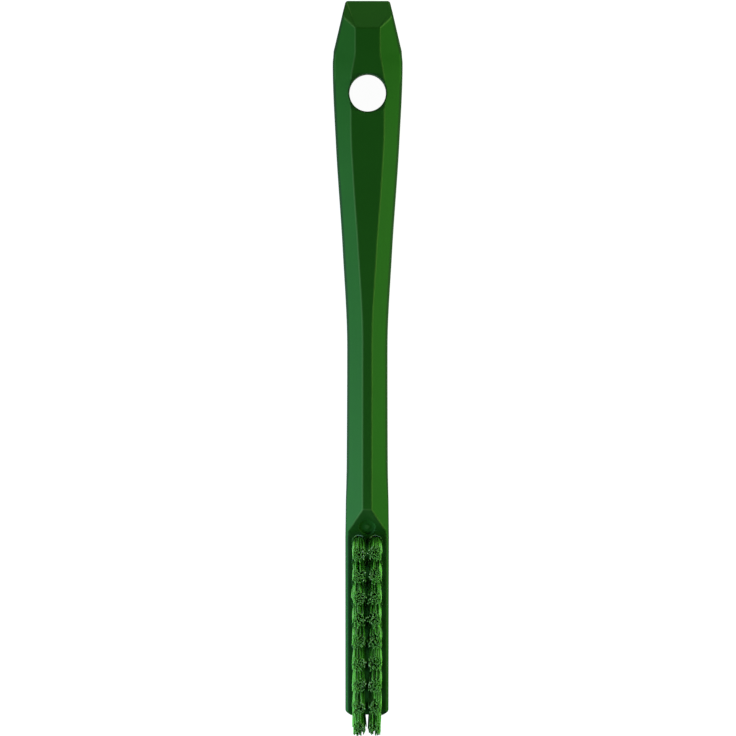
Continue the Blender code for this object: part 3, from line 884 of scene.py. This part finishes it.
def green_polyester():
    """Drawn filament: its own tone with painted shade inside and painted light outside, fine drawing
    lines, painted shade at the root and a paler cut tip with a painted highlight.
    """
    material, tree, shader = principled("green_polyester")
    grain, patch = marks(tree, DRAWN_LINE_WIDTH, FILAMENT_PATCH, stretch=0.15)
    tone = shader_node(tree, "ShaderNodeAttribute", attribute_name="tone").outputs["Fac"]
    rise = shader_node(tree, "ShaderNodeAttribute", attribute_name="rise").outputs["Fac"]
    # Painted shade on the inner filaments, painted light on the outer ones.
    body = mixed(tree, tone, SHADED_INNER_GREEN, LIT_OUTER_GREEN)
    streaked = mixed(tree, spread(tree, grain, 0.0, STREAK_STRENGTH), body, STREAK_GREEN)
    shade_top = spread(tree, tone, INNER_ROOT_SHADE_TOP, OUTER_ROOT_SHADE_TOP)
    shade_hold = shader_node(
        tree, "ShaderNodeMath", {0: shade_top, 1: ROOT_SHADE_HOLD_SHARE}, operation="MULTIPLY"
    ).outputs["Value"]
    # Painted shade at the root, reaching higher on the inner filaments.
    root = shader_node(
        tree,
        "ShaderNodeMapRange",
        {
            "Value": rise,
            "From Min": shade_hold,
            "From Max": shade_top,
            "To Min": ROOT_SHADE_STRENGTH,
            "To Max": 0.0,
        },
        interpolation_type="SMOOTHSTEP",
    ).outputs["Result"]
    root_shaded = mixed(tree, root, streaked, ROOT_SHADE_GREEN)
    # A painted highlight on the cut tips, full on the inner filaments and weak on the outer ones.
    tip_highlight = shader_node(
        tree,
        "ShaderNodeMapRange",
        {"Value": tone, "From Max": TIP_HIGHLIGHT_TONE, "To Min": 1.0, "To Max": OUTER_TIP_HIGHLIGHT_STRENGTH},
    ).outputs["Result"]
    tip = shader_node(
        tree,
        "ShaderNodeMapRange",
        {"Value": rise, "From Min": CUT_TIP_START, "From Max": 1.0, "To Max": tip_highlight},
        interpolation_type="SMOOTHSTEP",
    ).outputs["Result"]
    tree.links.new(mixed(tree, tip, root_shaded, CUT_TIP_HIGHLIGHT_GREEN), shader.inputs["Base Color"])
    tree.links.new(spread(tree, patch, *FILAMENT_ROUGHNESS), shader.inputs["Roughness"])
    bump = shader_node(
        tree, "ShaderNodeBump", {"Height": grain, "Strength": 0.1, "Distance": DRAWN_LINE_DEPTH}
    )
    tree.links.new(bump.outputs["Normal"], shader.inputs["Normal"])
    shader.inputs["Specular IOR Level"].default_value = 0.14
    return material


polyester = green_polyester()
for row in ROWS:
    for number in range(1, TUFTS_PER_ROW + 1):
        chance = random.Random(f"{row} tuft {number}")
        centre, anchor_low, anchor_high = tuft_hole(row, number)
        outward = 1 if row == "right" else -1
        lean = Vector((0.0, -LAST_TUFT_LEAN * (number - 1) / (TUFTS_PER_ROW - 1), 0.0))
        if number == TUFTS_PER_ROW:
            lean.x = -LAST_TUFT_PINCH
        builder = bmesh.new()
        layers = (builder.verts.layers.float.new("tone"), builder.verts.layers.float.new("rise"))
        for place in root_places(chance):
            points = folded_points(chance, place, lean, anchor_low, anchor_high)
            tones = (filament_tone(chance, -place[0]), filament_tone(chance, place[0]))
            placed = [centre + Vector((outward * p.x, p.y, p.z)) for p in points]
            sweep_filament(builder, layers, placed, tones)
        tuft = add_piece(f"bristles_{row}_{number}", builder, polyester)
        tuft.data.shade_smooth()
        tuft.data.set_sharp_from_angle(angle=math.radians(SHARP_EDGE_DEGREES))
        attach(tuft, "root")
        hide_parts(f"tuft_{row}_{number}")

# Floor
# A plain pale studio table of painted board, wide enough to reach the horizon in every view. It
# glows a little to the camera and in reflections, so that it reads as white paper and keeps shadows.
FLOOR_RADIUS = 4.0
FLOOR_SIDES = 64
FLOOR_GLOW = 0.97
BOARD_TOOTH = 0.0008
BOARD_TOOTH_DEPTH = 0.0001
BOARD_PATCH = 0.0500
BOARD_GREYS = ((0.28, 0.28, 0.28), (0.31, 0.31, 0.31))


def seen_share(tree):
    """1 for the eye and for mirrored or refracted sight of a surface, 0 for the light it casts."""
    path = shader_node(tree, "ShaderNodeLightPath").outputs
    seen = shader_node(
        tree, "ShaderNodeMath", {0: path["Is Camera Ray"], 1: path["Is Glossy Ray"]}, operation="ADD"
    ).outputs["Value"]
    return shader_node(
        tree, "ShaderNodeMath", {0: seen, 1: path["Is Transmission Ray"]}, operation="ADD", use_clamp=True
    ).outputs["Value"]


def pale_board():
    """Matt white board with a faint tooth, and a glow that only the eye and reflections see."""
    material, tree, shader = principled("pale_board")
    grain, patch = marks(tree, BOARD_TOOTH, BOARD_PATCH)
    tree.links.new(mixed(tree, patch, *BOARD_GREYS), shader.inputs["Base Color"])
    bump = shader_node(
        tree, "ShaderNodeBump", {"Height": grain, "Strength": 0.05, "Distance": BOARD_TOOTH_DEPTH}
    )
    tree.links.new(bump.outputs["Normal"], shader.inputs["Normal"])
    shader.inputs["Roughness"].default_value = 0.9
    shader.inputs["Specular IOR Level"].default_value = 0.0
    glow = shader_node(
        tree, "ShaderNodeMath", {0: seen_share(tree), 1: FLOOR_GLOW}, operation="MULTIPLY"
    )
    light = shader_node(tree, "ShaderNodeEmission", {"Strength": glow.outputs["Value"]})
    both = shader_node(tree, "ShaderNodeAddShader", {0: shader.outputs[0], 1: light.outputs[0]})
    tree.links.new(both.outputs[0], tree.nodes["Material Output"].inputs["Surface"])
    return material


builder = bmesh.new()
bmesh.ops.create_circle(builder, cap_ends=True, segments=FLOOR_SIDES, radius=FLOOR_RADIUS)
floor = add_piece("floor", builder, pale_board())

# Studio light
# Two long low softboxes at the sides of the table, a small one past the hanging end and a pale horizon
# under a ceiling that looks white but casts little light: the side facets catch the boxes, while the
# ridge and the bed face the ceiling.
BOX_DISTANCE = 0.30
BOX_RISE = 0.060
BOX_LENGTH = 0.22
BOX_HEIGHT = 0.10
LEFT_BOX_Y = -0.120
LEFT_BOX_COLOUR = (0.85, 1.00, 1.90)
LEFT_BOX_WATTS = 1.58
RIGHT_BOX_Y = -0.010
RIGHT_BOX_COLOUR = (0.80, 1.00, 0.56)
RIGHT_BOX_WATTS = 1.06
END_BOX_LENGTH = 0.20
END_BOX_COLOUR = (1.00, 1.00, 0.85)
END_BOX_WATTS = 0.20
CEILING_GREY = 0.024
HORIZON_SINE = 0.06
CEILING_SINE = 0.24


def softbox(name, place, length, colour, watts):
    """A rectangular lamp at the table's edge that faces the brush squarely and is hidden from view."""
    lamp = bpy.data.lights.new(name, "AREA")
    lamp.shape = "RECTANGLE"
    lamp.size = length
    lamp.size_y = BOX_HEIGHT
    lamp.energy = watts
    lamp.color = colour
    box = bpy.data.objects.new(name, lamp)
    box.location = place
    box.rotation_mode = "QUATERNION"
    away = Vector(place)
    if away.x:
        # A side box looks straight across the brush, wherever it stands along it
        away.y = 0.0
    box.rotation_quaternion = away.to_track_quat("Z", "Y")
    box.visible_camera = False
    bpy.context.scene.collection.objects.link(box)


left_place = (-BOX_DISTANCE, LEFT_BOX_Y, BOX_RISE)
right_place = (BOX_DISTANCE, RIGHT_BOX_Y, BOX_RISE)
end_place = (0.0, BOX_DISTANCE, BOX_RISE)
softbox("left_softbox", left_place, BOX_LENGTH, LEFT_BOX_COLOUR, LEFT_BOX_WATTS)
softbox("right_softbox", right_place, BOX_LENGTH, RIGHT_BOX_COLOUR, RIGHT_BOX_WATTS)
softbox("end_softbox", end_place, END_BOX_LENGTH, END_BOX_COLOUR, END_BOX_WATTS)

world = bpy.data.worlds.new("studio")
world.use_nodes = True
bpy.context.scene.world = world
sky = world.node_tree
toward = shader_node(sky, "ShaderNodeTexCoord").outputs["Generated"]
height = shader_node(sky, "ShaderNodeSeparateXYZ", {"Vector": toward}).outputs["Z"]
overhead = shader_node(
    sky,
    "ShaderNodeMapRange",
    {"Value": height, "From Min": HORIZON_SINE, "From Max": CEILING_SINE},
    interpolation_type="SMOOTHSTEP",
).outputs["Result"]
unseen = shader_node(sky, "ShaderNodeMath", {0: 1.0, 1: seen_share(sky)}, operation="SUBTRACT")
darkened = shader_node(
    sky, "ShaderNodeMath", {0: overhead, 1: unseen.outputs["Value"]}, operation="MULTIPLY"
).outputs["Value"]
tone = mixed(sky, darkened, (1.0, 1.0, 1.0), (CEILING_GREY, CEILING_GREY, CEILING_GREY))
sky.links.new(tone, sky.nodes["Background"].inputs["Color"])

# Camera
# It looks almost straight down on the bristle side from over the hanging end, so the upright tufts
# show their outer sides and seem to lean towards the head. It is turned half round, so that the
# hanging end is at the top of the picture.
CAMERA_PLACE = Vector((0.00019, 0.0691, 0.567))
CAMERA_AIM = Vector((0.00019, -0.00087, 0.007))
CAMERA_LENS = 96.93
CAMERA_ROLL_DEGREES = 180.065

camera = bpy.data.objects.new("camera", bpy.data.cameras.new("camera"))
camera.data.lens = CAMERA_LENS
camera.data.clip_end = 3 * FLOOR_RADIUS
camera.location = CAMERA_PLACE
camera.rotation_mode = "QUATERNION"
level = (CAMERA_AIM - CAMERA_PLACE).to_track_quat("-Z", "Y")
camera.rotation_quaternion = level @ Quaternion((0.0, 0.0, 1.0), math.radians(CAMERA_ROLL_DEGREES))
bpy.context.scene.collection.objects.link(camera)
bpy.context.scene.camera = camera
bpy.context.scene.view_settings.view_transform = "Standard"
